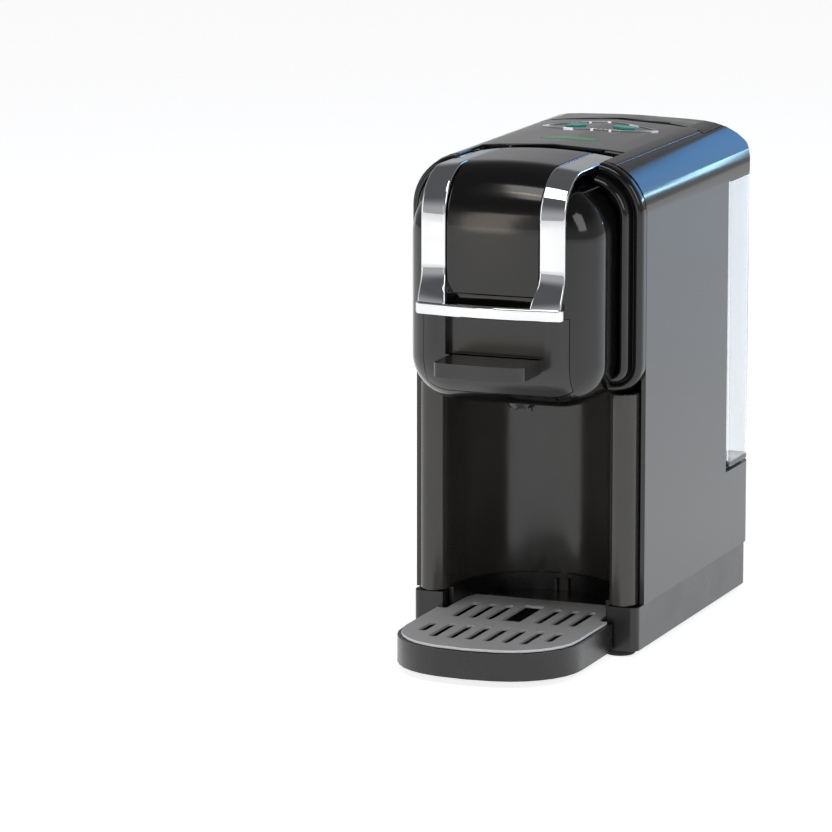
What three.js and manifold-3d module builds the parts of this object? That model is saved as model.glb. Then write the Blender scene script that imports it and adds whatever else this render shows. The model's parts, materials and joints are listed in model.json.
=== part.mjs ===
// Pod coffee machine: a narrow counter-top capsule machine with a lifting lever
// hood, a pull-out pod drawer, a round cup bay, a steel-topped drip tray and a
// clear water tank across the back. Millimetres, +Z up, front towards -Y.
// The origin is on the counter, under the middle of the machine.
import * as THREE from 'three';
import { mergeVertices } from 'three/addons/utils/BufferGeometryUtils.js';
import Module from 'manifold-3d';

const wasm = await Module();
wasm.setup();

// ---- driving dimensions -------------------------------------------------
const width = 122;            // across the side shells
const height = 251;           // counter to the crown of the top
const seamToRear = 173;       // front-frame seam to the back of the tank
const wall = 2.4;             // moulded wall thickness
const gap = 0.4;              // clearance between fixed neighbours
const slideGap = 0.6;         // clearance of pieces that move past each other

const shoulderRadius = 26;    // rounding along the top of the side shells
const crownRise = 6;          // rise of the top from shoulder line to middle
const rearTopRadius = 28;     // rounding of the roof down to the tank
const rearCornerRadius = 12;  // vertical corners at the back
const coverInset = 16;        // side-shell seam on the top, in from the side
const baseHeight = 26;        // foot plane to the lower edge of the shells
const footHeight = 3;
const footRadius = 8;

const frameDepth = 14;        // front frame, ahead of the seam
const frameBand = 11;         // frame width either side of the head
const frameBottom = 134;
const framePlate = 3;         // back plate that the head is fixed to
const headBottom = 128;       // underside of the brewing head
const headReach = 50;         // head front, ahead of the seam
const headCorner = 22;        // rounding of the head's front corners, seen from above
const headDrop = 10;          // head roof, below the crown

const leverHalf = 37.5;       // half width over the two chrome arms
const armWidth = 13;
const leverThickness = 3.5;
const leverProud = 4.5;       // lever front, ahead of the head front
const lipReach = 5.5;         // how far the arms flare forward to meet the grip lip
const lipBow = 6;             // how far the grip lip bows ahead of its ends
const lipHeight = 6;
const flareHeight = 13;       // height of the flare above the lip
const hoodLift = 4;           // finger gap between lip and hood
const hingeBack = 20;         // lever hinge axis, behind the seam
const hingeNose = 10.8;       // radius of the rounded end that turns in the cover

const drawerHalf = 38;
const drawerTop = 176.8;
const drawerBottom = 136.5;
const drawerDepth = 8;        // front block of the drawer, front to back
const pocketHalf = 26;        // thumb pocket above the tab
const tabHalf = 23.5;
const tabReach = 24;
const tabTop = 156;
const tabThickness = 7;
const podRadius = 17.4;
const podBack = -12;          // pod and spout centre, from the seam

const bayRadius = 43.5;       // concave cup bay
const bayCentre = 8;          // its axis, behind the seam
const noseReach = 8;          // column noses, ahead of the seam

const trayHalf = 47.5;
const trayFront = -91;        // front of the drip tray, from the seam
const trayTop = 16.9;
const trayRim = 4.5;          // width of the rim that carries the grid
const gridInset = 2;          // how much of the rim shows outside the grid
const gridThickness = 1.3;
const gridBack = 24;
const collarTop = 27;

const tankDepth = 42;
const tankBottom = 71;
const tankTop = 221.4;
const tankWall = 2.2;
const tankPortHeight = 88;
const lidNose = 6.2;

const panelHalf = 30;         // control panel, an almond across the top
const panelHalfDepth = 13;
const panelBack = 102;
const buttonSpacing = 26;
const buttonHalfX = 5.6;
const buttonHalfY = 3.1;

// ---- derived sizes ------------------------------------------------------
const halfWidth = width / 2;
const seamX = halfWidth - coverInset;
const headHalf = halfWidth - frameBand;
const columnHalf = halfWidth - wall - gap - 0.7;
const headTop = height - headDrop;
const headFront = -headReach;
const hingeZ = height - hingeNose - 0.7;
const leverFront = headFront - leverProud;
const lipBottom = drawerTop + gap;
const hoodBottom = lipBottom + lipHeight + hoodLift;
const coverFront = hingeBack + hingeNose + slideGap;
const tankFront = seamToRear - tankDepth;
const partitionFront = tankFront - gap - wall;
const lidAxisY = tankFront + 4.5;
const lidAxisZ = height - lidNose - 0.5;
const bayBack = bayCentre + bayRadius;
const gridTop = trayTop + 0.3 + gridThickness;

const arcSteps = 7;           // facets in a quarter turn
const roundSteps = 24;        // facets round a full circle

// ---- shape helpers ------------------------------------------------------
// A closed outline from [x, y, radius] corners, each rounded to its radius.
function outline(corners) {
  const points = [];
  corners.forEach(([x, y, radius = 0], i) => {
    const corner = new THREE.Vector2(x, y);
    if (radius <= 0) {
      points.push(corner);
      return;
    }
    const before = corners[(i + corners.length - 1) % corners.length];
    const after = corners[(i + 1) % corners.length];
    const back = new THREE.Vector2(before[0] - x, before[1] - y).normalize();
    const on = new THREE.Vector2(after[0] - x, after[1] - y).normalize();
    const half = Math.acos(THREE.MathUtils.clamp(back.dot(on), -1, 1)) / 2;
    const middle = back.clone().add(on).normalize();
    const centre = corner.clone().addScaledVector(middle, radius / Math.sin(half));
    const start = corner.clone().addScaledVector(back, radius / Math.tan(half)).sub(centre);
    const end = corner.clone().addScaledVector(on, radius / Math.tan(half)).sub(centre);
    let sweep = end.angle() - start.angle();
    if (sweep > Math.PI) sweep -= 2 * Math.PI;
    if (sweep < -Math.PI) sweep += 2 * Math.PI;
    const fineness = arcSteps * Math.min(1, Math.sqrt(radius / 12));
    const steps = Math.max(2, Math.ceil(Math.abs(sweep) / (Math.PI / 2) * fineness));
    for (let k = 0; k <= steps; k += 1) {
      const turned = start.clone().rotateAround(new THREE.Vector2(), sweep * k / steps);
      points.push(turned.add(centre));
    }
  });
  return new THREE.Shape(points);
}

function ellipse(x, y, halfX, halfY) {
  const shape = new THREE.Shape();
  shape.absellipse(x, y, halfX, halfY, 0, 2 * Math.PI);
  return new THREE.Shape(shape.getPoints(arcSteps * 2));
}

// Two shallow arcs that meet in points at x = -half and x = half.
function almond(y, half, halfDepth) {
  const points = [];
  const steps = 20;
  for (let k = 0; k <= steps; k += 1) {
    const t = k / steps;
    points.push(new THREE.Vector2(half * (2 * t - 1), y - 4 * halfDepth * t * (1 - t)));
  }
  for (let k = 1; k < steps; k += 1) {
    const t = k / steps;
    points.push(new THREE.Vector2(half * (1 - 2 * t), y + 4 * halfDepth * t * (1 - t)));
  }
  return new THREE.Shape(points);
}

// ---- solid helpers ------------------------------------------------------
function solid(geometry) {
  const bare = geometry.clone();
  bare.deleteAttribute('normal');
  bare.deleteAttribute('uv');
  const merged = mergeVertices(bare, 1e-4);
  return new wasm.Manifold(new wasm.Mesh({
    numProp: 3,
    vertProperties: new Float32Array(merged.attributes.position.array),
    triVerts: new Uint32Array(merged.index.array),
  }));
}

function extrude(shape, depth) {
  return new THREE.ExtrudeGeometry(shape, { depth, bevelEnabled: false, curveSegments: arcSteps });
}

// The outline is drawn in (X, Y) and runs from z0 up to z1.
function alongZ(shape, z0, z1) {
  return solid(extrude(shape, z1 - z0).translate(0, 0, z0));
}

// The outline is drawn in (X, Z) and runs from y0 back to y1.
function alongY(shape, y0, y1) {
  return solid(extrude(shape, y1 - y0).rotateX(Math.PI / 2).translate(0, y1, 0));
}

// The outline is drawn in (Y, Z) and runs from x0 across to x1.
function alongX(shape, x0, x1) {
  const turn = new THREE.Matrix4().makeBasis(
    new THREE.Vector3(0, 1, 0),
    new THREE.Vector3(0, 0, 1),
    new THREE.Vector3(1, 0, 0),
  );
  return solid(extrude(shape, x1 - x0).applyMatrix4(turn).translate(x0, 0, 0));
}

function box(x0, x1, y0, y1, z0, z1) {
  const geometry = new THREE.BoxGeometry(x1 - x0, y1 - y0, z1 - z0);
  return solid(geometry.translate((x0 + x1) / 2, (y0 + y1) / 2, (z0 + z1) / 2));
}

// A turned piece from [radius, height] steps, standing on +Z at (x, y).
function turned(profile, x, y) {
  const points = profile.map(([r, z]) => new THREE.Vector2(r, z));
  const geometry = new THREE.LatheGeometry(points, roundSteps);
  return solid(geometry.rotateX(Math.PI / 2).translate(x, y, 0));
}

function cylinderZ(radius, z0, z1, x, y) {
  return turned([[0, z0], [radius, z0], [radius, z1], [0, z1]], x, y);
}

function cylinderX(radius, x0, x1, y, z) {
  const geometry = new THREE.CylinderGeometry(radius, radius, x1 - x0, roundSteps);
  return solid(geometry.rotateZ(Math.PI / 2).translate((x0 + x1) / 2, y, z));
}

function cylinderY(radius, y0, y1, x, z) {
  const geometry = new THREE.CylinderGeometry(radius, radius, y1 - y0, roundSteps);
  return solid(geometry.translate(x, (y0 + y1) / 2, z));
}

function hose(radius, points) {
  const path = new THREE.CatmullRomCurve3(points.map((p) => new THREE.Vector3(...p)));
  const section = new THREE.Shape();
  section.absarc(0, 0, radius, 0, 2 * Math.PI);
  const geometry = new THREE.ExtrudeGeometry(section, {
    steps: points.length * 6,
    curveSegments: 4,
    bevelEnabled: false,
    extrudePath: path,
  });
  return solid(geometry);
}

function toGeometry(manifold) {
  const mesh = manifold.getMesh();
  const geometry = new THREE.BufferGeometry();
  geometry.setAttribute('position', new THREE.BufferAttribute(new Float32Array(mesh.vertProperties), 3));
  geometry.setIndex(new THREE.BufferAttribute(new Uint32Array(mesh.triVerts), 1));
  geometry.computeVertexNormals();
  return geometry;
}

// ---- finishes -----------------------------------------------------------
const finishes = {
  glossBlack: { color: 0x0d0d0e, roughness: 0.12, metalness: 0.0 },
  satinGrey: { color: 0x3f4043, roughness: 0.38, metalness: 0.1 },
  blackPlastic: { color: 0x1b1b1d, roughness: 0.5, metalness: 0.0 },
  chrome: { color: 0xdfe1e4, roughness: 0.05, metalness: 1.0 },
  brushedSteel: { color: 0xb9bbbd, roughness: 0.32, metalness: 1.0 },
  clearPlastic: { color: 0xe9eef2, roughness: 0.05, metalness: 0.0 },
  darkLens: { color: 0x07080a, roughness: 0.08, metalness: 0.0 },
  tealLight: { color: 0x3fb8ae, roughness: 0.3, metalness: 0.0 },
  greenLight: { color: 0x1f8f4f, roughness: 0.3, metalness: 0.0 },
  rubber: { color: 0x161616, roughness: 0.9, metalness: 0.0 },
  aluminium: { color: 0xa9acb0, roughness: 0.4, metalness: 1.0 },
  naturalPlastic: { color: 0xcfcbbf, roughness: 0.5, metalness: 0.0 },
  board: { color: 0x1f5a34, roughness: 0.6, metalness: 0.0 },
  hoseSilicone: { color: 0xd9d6cc, roughness: 0.6, metalness: 0.0 },
};

const group = new THREE.Group();

function add(name, manifold, finish) {
  const mesh = new THREE.Mesh(toGeometry(manifold), new THREE.MeshStandardMaterial(finishes[finish]));
  mesh.name = name;
  group.add(mesh);
}

// ---- body volume --------------------------------------------------------
// The rounded column of the body, drawn in by inset, from y0 back and z0 up.
function bodySolid(inset, y0, z0) {
  const half = halfWidth - inset;
  const shoulderZ = height + 1.5 - crownRise - inset;
  const peak = height + 1.5 - inset;
  const section = outline([
    [-half, z0], [half, z0], [half, shoulderZ, shoulderRadius - inset],
    [0, peak, 300], [-half, shoulderZ, shoulderRadius - inset],
  ]);
  const rear = seamToRear - inset;
  const side = outline([
    [y0, z0], [rear, z0], [rear, height + 0.5 - inset, rearTopRadius - inset], [y0, height + 0.5 - inset],
  ]);
  const cornerRadius = rearCornerRadius - inset;
  const plan = outline([[-half, y0], [half, y0], [half, rear, cornerRadius], [-half, rear, cornerRadius]]);
  return alongY(section, y0, rear + 1)
    .intersect(alongX(side, -half - 1, half + 1))
    .intersect(alongZ(plan, z0, height + 5));
}

const skin = bodySolid(0, gap, baseHeight).subtract(bodySolid(wall, -5, baseHeight - 5));
const tankBay = box(-200, 200, tankFront - 2.7, seamToRear + 20, tankBottom - 1.7, tankTop + 0.4);

// Side shells: the flat side, the shoulder above it and the rear corner.
for (const [side, sign] of [['left', -1], ['right', 1]]) {
  const inner = seamX + 0.2;
  const lidInner = seamX + 1.9;
  const half = sign > 0 ? box(inner, 200, 0, 400, 0, 400) : box(-200, -inner, 0, 400, 0, 400);
  const lidStep = sign > 0
    ? box(0, lidInner, lidAxisY - lidNose - 0.9, 400, tankTop, 400)
    : box(-lidInner, 0, lidAxisY - lidNose - 0.9, 400, tankTop, 400);
  add(`side_shell_${side}`, skin.intersect(half).subtract(lidStep).subtract(tankBay), 'satinGrey');
}

// ---- top cover, control panel and lights --------------------------------
const panelPocket = alongZ(almond(panelBack, panelHalf + 1.8, panelHalfDepth + 1.5), headTop, height + 5);
const lightBack = 56;
const lightPocket = alongZ(ellipse(0, lightBack, 15.3, 4.8), headTop, height + 5);
const coverEnd = lidAxisY - lidNose - 0.6;
const topCover = skin
  .intersect(box(-seamX + 0.2, seamX - 0.2, gap, coverEnd, height - 22, 400))
  .subtract(box(-leverHalf - 0.7, leverHalf + 0.7, -50, coverFront, 0, 400))
  .subtract(panelPocket)
  .subtract(lightPocket);
add('top_cover', topCover, 'glossBlack');

function capSlice(proud, deep) {
  return bodySolid(-proud, 1, headBottom).subtract(bodySolid(deep, -5, headBottom - 5));
}

const buttonAt = [-buttonSpacing / 2, buttonSpacing / 2];
let panel = alongZ(almond(panelBack, panelHalf, panelHalfDepth), headTop - 5, height + 5)
  .intersect(capSlice(0.2, wall + 0.6));
for (const x of buttonAt) {
  const hole = ellipse(x, panelBack, buttonHalfX + gap, buttonHalfY + gap);
  panel = panel.subtract(alongZ(hole, headTop - 5, height + 5));
}
add('control_panel', panel, 'darkLens');
const trim = alongZ(almond(panelBack, panelHalf + 1.5, panelHalfDepth + 1.2), headTop - 5, height + 5)
  .subtract(alongZ(almond(panelBack, panelHalf + 0.4, panelHalfDepth + 0.3), headTop - 6, height + 6))
  .intersect(capSlice(0.6, wall));
add('panel_trim', trim, 'chrome');
['button_small_cup', 'button_large_cup'].forEach((name, i) => {
  const button = alongZ(ellipse(buttonAt[i], panelBack, buttonHalfX, buttonHalfY), headTop - 5, height + 5)
    .intersect(capSlice(0.9, wall + 1));
  add(name, button, 'tealLight');
});
const light = alongZ(ellipse(0, lightBack, 15, 4.5), headTop - 5, height + 5).intersect(capSlice(0.1, wall));
add('status_light', light, 'greenLight');

// ---- tank lid -----------------------------------------------------------
const lidHalf = seamX + 1.5;
const lidBox = box(-lidHalf, lidHalf, lidAxisY, 400, tankTop + 0.9, 400);
const lidBarrel = cylinderX(lidNose, -lidHalf, lidHalf, lidAxisY, lidAxisZ)
  .intersect(bodySolid(0, 1, headBottom));
const lid = skin.intersect(lidBox)
  .add(lidBarrel)
  .subtract(cylinderX(1.9, -lidHalf - 1, lidHalf + 1, lidAxisY, lidAxisZ));
add('tank_lid', lid, 'glossBlack');
add('lid_pin', cylinderX(1.5, -lidHalf + 0.5, lidHalf - 0.5, lidAxisY, lidAxisZ), 'brushedSteel');

// ---- water tank ---------------------------------------------------------
const tankHalf = halfWidth - 0.1;
function tankSolid(inset, top) {
  const half = tankHalf - inset;
  const front = tankFront + inset;
  const rear = seamToRear - 0.1 - inset;
  const radius = rearCornerRadius - inset;
  const plan = outline([[-half, front, 3], [half, front, 3], [half, rear, radius], [-half, rear, radius]]);
  const side = outline([
    [front, tankBottom + inset, 5], [rear, tankBottom + inset, 6], [rear, top], [front, top],
  ]);
  return alongZ(plan, tankBottom, top).intersect(alongX(side, -half - 1, half + 1));
}
const portHole = cylinderY(6.2, tankFront - 20, tankFront + 10, 0, tankPortHeight);
const tank = tankSolid(0, tankTop).subtract(tankSolid(tankWall, tankTop + 5)).subtract(portHole);
add('water_tank', tank, 'clearPlastic');
const valve = cylinderY(5.8, tankFront - 6, tankFront + 6, 0, tankPortHeight)
  .add(cylinderY(9, tankFront + tankWall + 0.3, tankFront + 6, 0, tankPortHeight))
  .subtract(cylinderY(3, tankFront - 20, tankFront + 20, 0, tankPortHeight));
add('tank_valve', valve, 'blackPlastic');
const tankMiddle = (tankFront + seamToRear) / 2;
const float = alongZ(outline([
  [14, tankMiddle - 11, 5], [40, tankMiddle - 11, 5], [40, tankMiddle + 11, 5], [14, tankMiddle + 11, 5],
]), tankBottom + 16, tankBottom + 30);
add('level_float', float, 'naturalPlastic');

// ---- rear walls, tank shelf, switch and cord inlet ----------------------
const partition = box(-halfWidth + wall + gap, halfWidth - wall - gap, partitionFront, tankFront - gap,
  tankBottom - 1.5, tankTop)
  .subtract(cylinderY(7.5, partitionFront - 1, tankFront, 0, tankPortHeight));
add('rear_cover', partition, 'blackPlastic');
const shelfTop = tankBottom - gap;
const shelf = bodySolid(wall + gap, tankFront - 2, shelfTop - 4)
  .intersect(box(-200, 200, partitionFront + 0.2, 400, 0, shelfTop));
add('tank_shelf', shelf.subtract(box(-200, 200, 0, tankFront, tankBottom - 2, 400)), 'blackPlastic');

const switchX = 26;
const rockerHalfX = 7.6;
const rockerHalfZ = 6.2;
const rockerPlay = 0.8;
const switchRim = 1.5;
const inletX = -26;
const rearPortZ = 46;
const switchBox = (grow, y0, y1) => box(
  switchX - rockerHalfX - grow, switchX + rockerHalfX + grow, y0, y1,
  rearPortZ - rockerHalfZ - grow, rearPortZ + rockerHalfZ + grow,
);
const rearPanel = skin
  .intersect(box(-seamX + 0.2, seamX - 0.2, seamToRear - 20, 400, 0, tankBottom - 1.7))
  .subtract(switchBox(rockerPlay + switchRim + gap, 0, 400))
  .subtract(cylinderY(8.4, 0, 400, inletX, rearPortZ));
add('rear_panel', rearPanel, 'satinGrey');
const rocker = outline([
  [seamToRear - 6, rearPortZ - rockerHalfZ], [seamToRear + 0.2, rearPortZ - rockerHalfZ],
  [seamToRear - 0.8, rearPortZ], [seamToRear + 1.8, rearPortZ + rockerHalfZ],
  [seamToRear - 6, rearPortZ + rockerHalfZ],
]);
const switchFrame = switchBox(rockerPlay + switchRim, seamToRear - 9, seamToRear - 0.2)
  .subtract(switchBox(rockerPlay, seamToRear - 7.6, 400));
add('switch_frame', switchFrame, 'blackPlastic');
add('power_switch', alongX(rocker, switchX - rockerHalfX, switchX + rockerHalfX), 'blackPlastic');
const inlet = cylinderY(8, seamToRear - 12, seamToRear - 0.2, inletX, rearPortZ)
  .subtract(cylinderY(4, seamToRear - 8, 400, inletX, rearPortZ));
add('cord_inlet', inlet, 'rubber');

// ---- base pan and feet --------------------------------------------------
const bayPlan = (grow, front) => outline([
  [-bayRadius - grow, front], [bayRadius + grow, front], [bayRadius + grow, bayCentre + 2],
  [bayRadius + grow, bayBack + grow, bayRadius + grow - 2],
  [-bayRadius - grow, bayBack + grow, bayRadius + grow - 2],
  [-bayRadius - grow, bayCentre + 2],
]);
const baseBottom = footHeight + 0.3;
const baseTop = baseHeight - gap;
function basePlan(inset) {
  const half = halfWidth - 1 - inset;
  const front = -noseReach + 1 + inset;
  const rear = seamToRear - 1 - inset;
  const radius = rearCornerRadius - 1 - inset;
  return outline([
    [-half, front, 4 - inset / 2], [half, front, 4 - inset / 2], [half, rear, radius], [-half, rear, radius],
  ]);
}
const baseCavity = alongZ(basePlan(wall), baseBottom + wall, 100)
  .subtract(alongZ(bayPlan(wall + gap, -50), 0, 200));
const footX = halfWidth - 13;
const footY = [2, seamToRear - 13];
const screwX = halfWidth - 13;
const screwY = [30, seamToRear - 40];
let base = alongZ(basePlan(0), baseBottom, baseTop)
  .subtract(baseCavity)
  .subtract(alongZ(bayPlan(gap, -50), baseBottom + wall, 100));
for (const x of [-screwX, screwX]) {
  for (const y of screwY) {
    base = base.subtract(cylinderZ(3.4, 0, baseBottom + wall + 1, x, y));
  }
}
add('base_pan', base, 'blackPlastic');
for (const [end, y] of [['front', footY[0]], ['rear', footY[1]]]) {
  for (const [side, x] of [['left', -footX], ['right', footX]]) {
    const profile = [[0, 0], [footRadius - 1, 0], [footRadius, 1], [footRadius, footHeight], [0, footHeight]];
    add(`foot_${end}_${side}`, turned(profile, x, y), 'rubber');
  }
}
for (const [end, y] of [['front', screwY[0]], ['rear', screwY[1]]]) {
  for (const [side, x] of [['left', -screwX], ['right', screwX]]) {
    const z = baseBottom + 0.4;
    const profile = [[0, z], [3, z], [3, z + 1.6], [1.6, z + 1.6], [1.6, z + 9], [0, z + 9]];
    add(`base_screw_${end}_${side}`, turned(profile, x, y), 'brushedSteel');
  }
}

// ---- column with the cup bay -------------------------------------------
// The outer form of the brewing head, drawn in by inset and cut off square at back.
function headSolid(inset, back) {
  const half = headHalf - inset;
  const low = headBottom + inset;
  const top = headTop - inset;
  const front = headFront + inset;
  const section = outline([
    [-half, low, 24 - inset], [half, low, 24 - inset], [half, top, 27 - inset], [-half, top, 27 - inset],
  ]);
  const side = outline([
    [front, low + 11, 9 - inset], [front + 15, low, 10 - inset], [back, low],
    [back, top + 1], [front, top + 1, 22 - inset],
  ]);
  const round = headCorner - inset;
  const plan = outline([[-half, front, round], [half, front, round], [half, back], [-half, back]]);
  return alongY(section, front - 1, back)
    .intersect(alongX(side, -half - 1, half + 1))
    .intersect(alongZ(plan, low - 1, top + 1));
}
const columnTop = frameBottom - gap;
const columnBack = bayBack + wall - 0.2;
function columnPlan(inset) {
  const half = columnHalf - inset;
  const front = -noseReach + inset;
  const radius = (columnHalf - bayRadius) / 2 - 0.3 - inset;
  const back = inset > 0 ? columnBack + 30 : columnBack;
  return outline([
    [-half, back], [-half, front, radius], [-bayRadius - inset, front, radius],
    [-bayRadius - inset, bayCentre + 2],
    [-bayRadius - inset, bayBack + inset, bayRadius + inset - 2],
    [bayRadius + inset, bayBack + inset, bayRadius + inset - 2],
    [bayRadius + inset, bayCentre + 2],
    [bayRadius + inset, front, radius], [half, front, radius], [half, back],
  ]);
}
const columnWalls = alongZ(columnPlan(0), baseHeight + 0.1, columnTop)
  .subtract(alongZ(columnPlan(wall), baseHeight - 5, columnTop + 5));
const ceiling = alongZ(bayPlan(1, 0.3), columnTop - wall, columnTop);
const column = columnWalls.add(ceiling).subtract(headSolid(-gap, 0));
add('cup_bay', column, 'glossBlack');

// ---- front frame --------------------------------------------------------
function archSection(inset, z0, cornerRadius) {
  const half = halfWidth - inset;
  const shoulder = Math.max(shoulderRadius - inset, 12);
  const shoulderZ = height + 1.5 - crownRise - inset;
  return outline([
    [-half, z0, cornerRadius], [half, z0, cornerRadius], [half, shoulderZ, shoulder],
    [0, height + 1.5 - inset, 300], [-half, shoulderZ, shoulder],
  ]);
}
// One rounded ridge of the frame: stepped slices stand in for its curved face.
function ridge(outer, y0) {
  const steps = [[0, 0.0], [0.55, 1.2], [1.3, 2.2], [2.6, 3.0]];
  return steps
    .map(([inset, ahead]) => [outer + inset, ahead])
    .map(([from, ahead]) => alongY(archSection(from, frameBottom + from, 14 - outer), y0 - ahead, 0))
    .reduce((sum, slice) => sum.add(slice));
}
const headHole = alongY(outline([
  [-headHalf - 0.5, headBottom - 20], [headHalf + 0.5, headBottom - 20],
  [headHalf + 0.5, headTop + 0.5, 27], [-headHalf - 0.5, headTop + 0.5, 27],
]), -60, -framePlate);
const frameWindow = box(-headHalf + 9, headHalf - 9, -60, 10, headBottom + 14, headTop - 14);
const valley = alongY(archSection(frameBand - 5.4, frameBottom + 2, 8), -60, -frameDepth / 2)
  .subtract(alongY(archSection(frameBand - 4, frameBottom + 3, 8), -70, 10));
const frame = ridge(0, -frameDepth / 2)
  .add(ridge(frameBand - 5, -frameDepth + 3))
  .subtract(valley)
  .subtract(headHole)
  .subtract(frameWindow)
  .subtract(box(-leverHalf - 0.7, leverHalf + 0.7, -60, -framePlate, headTop - 15, 400))
  .subtract(box(-leverHalf - 0.7, leverHalf + 0.7, -60, 10, headTop + 1.5, 400));
add('front_frame', frame, 'glossBlack');

// ---- brewing head -------------------------------------------------------
const spoutHole = cylinderZ(9.4, 0, headBottom + 10, 0, podBack);
const drawerHole = box(-drawerHalf - 0.4, drawerHalf + 0.4, headFront - 5, headFront + drawerDepth,
  drawerBottom - 0.4, drawerTop + gap - 0.1);
const headBack = -framePlate - 0.3;
const head = headSolid(0, headBack).subtract(headSolid(wall, 10)).subtract(drawerHole).subtract(spoutHole);
add('head_housing', head, 'glossBlack');

const spoutTop = headBottom + wall + 0.3;
const spoutBottom = headBottom - 5;
const spoutBody = turned([
  [0, spoutBottom + 2], [6.5, spoutBottom + 2], [9, headBottom + 1], [9, spoutTop],
  [11.4, spoutTop], [11.4, spoutTop + 2], [0, spoutTop + 2],
], 0, podBack);
const spout = spoutBody
  .add(cylinderZ(1.8, spoutBottom, spoutBottom + 3, -4, podBack))
  .add(cylinderZ(1.8, spoutBottom, spoutBottom + 3, 4, podBack))
  .subtract(turned([[0, headBottom], [2, headBottom], [10, spoutTop + 3], [0, spoutTop + 3]], 0, podBack))
  .subtract(cylinderZ(0.9, 0, headBottom + 2, -4, podBack))
  .subtract(cylinderZ(0.9, 0, headBottom + 2, 4, podBack));
add('coffee_spout', spout, 'blackPlastic');

// ---- pod drawer ---------------------------------------------------------
const drawerBlock = headSolid(0, headBack)
  .intersect(box(-drawerHalf, drawerHalf, headFront - 1, headFront + drawerDepth - gap, drawerBottom,
    drawerTop))
  .subtract(box(-pocketHalf, pocketHalf, headFront - 1, headFront + drawerDepth - 3, tabTop, 400));
const tabPlan = outline([
  [-tabHalf, headFront + 4], [-tabHalf, headFront - tabReach, 4], [0, headFront - tabReach - 2, 120],
  [tabHalf, headFront - tabReach, 4], [tabHalf, headFront + 4],
]);
const carrierTop = drawerTop - 7;
const carrier = box(-30, 30, headFront + drawerDepth - 1, podBack + 24, carrierTop - 4, carrierTop)
  .subtract(cylinderZ(podRadius + 1.8, 0, 400, 0, podBack));
const drawer = drawerBlock.add(alongZ(tabPlan, tabTop - tabThickness, tabTop)).add(carrier);
add('pod_drawer', drawer, 'blackPlastic');
const cupFloor = carrierTop - 22;
const podCup = turned([
  [3, cupFloor], [podRadius - 1, cupFloor], [podRadius + 1.4, cupFloor + 3],
  [podRadius + 1.4, carrierTop + 0.3], [podRadius + 4, carrierTop + 0.3],
  [podRadius + 4, carrierTop + 2], [podRadius, carrierTop + 2],
  [podRadius, cupFloor + 3.5], [podRadius - 2, cupFloor + 1.6], [3, cupFloor + 1.6], [3, cupFloor],
], 0, podBack);
add('pod_cup', podCup, 'brushedSteel');

// ---- brewing piston and its frame ---------------------------------------
const pistonBottom = carrierTop + 2.7;
const piston = turned([
  [0, pistonBottom], [podRadius - 1.5, pistonBottom], [podRadius - 0.4, pistonBottom + 1],
  [podRadius - 0.4, pistonBottom + 24], [7, pistonBottom + 24], [7, pistonBottom + 34],
  [0, pistonBottom + 34],
], 0, podBack);
add('brew_piston', piston, 'aluminium');
const guideHalf = headHalf - wall - 1;
const guideZ = pistonBottom + 12;
const guide = box(-guideHalf, guideHalf, podBack - 14, headBack - 1.5, guideZ, guideZ + 4)
  .add(cylinderZ(podRadius + 3.5, guideZ, guideZ + 16, 0, podBack))
  .subtract(cylinderZ(podRadius + 0.2, 0, 400, 0, podBack));
add('piston_guide', guide, 'naturalPlastic');

// ---- lever and hood -----------------------------------------------------
const hingeHole = cylinderX(2.5, -100, 100, hingeBack, hingeZ);
// The lever from the side. The foot gives the corners at its lower end, for a face at y.
function leverProfile(inset, foot) {
  const peak = height - 0.6 - inset;
  const front = leverFront + inset;
  const inside = front + leverThickness;
  return outline([
    ...foot(front), [front, peak, 26 - inset], [hingeBack, peak],
    [hingeBack, hingeZ - 3], [hingeBack - 2, hingeZ - 3], [hingeBack - 2, peak - leverThickness],
    [inside, peak - leverThickness, 22.5], ...foot(inside).reverse(),
  ]);
}
const flaredFoot = (y) => [
  [y - lipReach, lipBottom], [y - lipReach, lipBottom + lipHeight, 10],
  [y, lipBottom + lipHeight + flareHeight, 14],
];
const hoodFoot = (y) => [[y, hoodBottom]];
const leverSection = outline([
  [-leverHalf, 100], [leverHalf, 100], [leverHalf, height + 1.2 - crownRise * 0.75, 5],
  [0, height + 1.2, 200], [-leverHalf, height + 1.2 - crownRise * 0.75, 5],
]);
const hingeDisc = (x0, x1) => cylinderX(hingeNose, x0, x1, hingeBack, hingeZ);
const armInner = leverHalf - armWidth;
function arm(x0, x1) {
  return alongX(leverProfile(0, flaredFoot), x0, x1)
    .add(hingeDisc(x0, x1))
    .intersect(alongY(leverSection, -100, 100))
    .subtract(hingeHole);
}
const lipEnd = leverFront - lipReach;
const lipBack = lipEnd + leverThickness;
const lipPlan = outline([
  [-leverHalf - 1, lipBack], [-leverHalf - 1, lipEnd, 2.5], [0, lipEnd - lipBow, 90],
  [leverHalf + 1, lipEnd, 2.5], [leverHalf + 1, lipBack],
  [armInner + 2, lipBack, 1], [0, lipBack - lipBow, 75], [-armInner - 2, lipBack, 1],
]);
const lip = alongZ(lipPlan, lipBottom, lipBottom + lipHeight);
const lever = arm(armInner, leverHalf).add(arm(-leverHalf, -armInner)).add(lip);
add('lever_band', lever, 'chrome');

const hoodHalf = armInner - gap;
const hood = alongX(leverProfile(0.5, hoodFoot), -hoodHalf, hoodHalf)
  .add(hingeDisc(-hoodHalf, hoodHalf))
  .intersect(alongY(leverSection, -100, 100))
  .subtract(hingeHole);
add('lever_hood', hood, 'glossBlack');
add('lever_pin', cylinderX(2.2, -leverHalf - 3.5, leverHalf + 3.5, hingeBack, hingeZ), 'brushedSteel');

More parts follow.
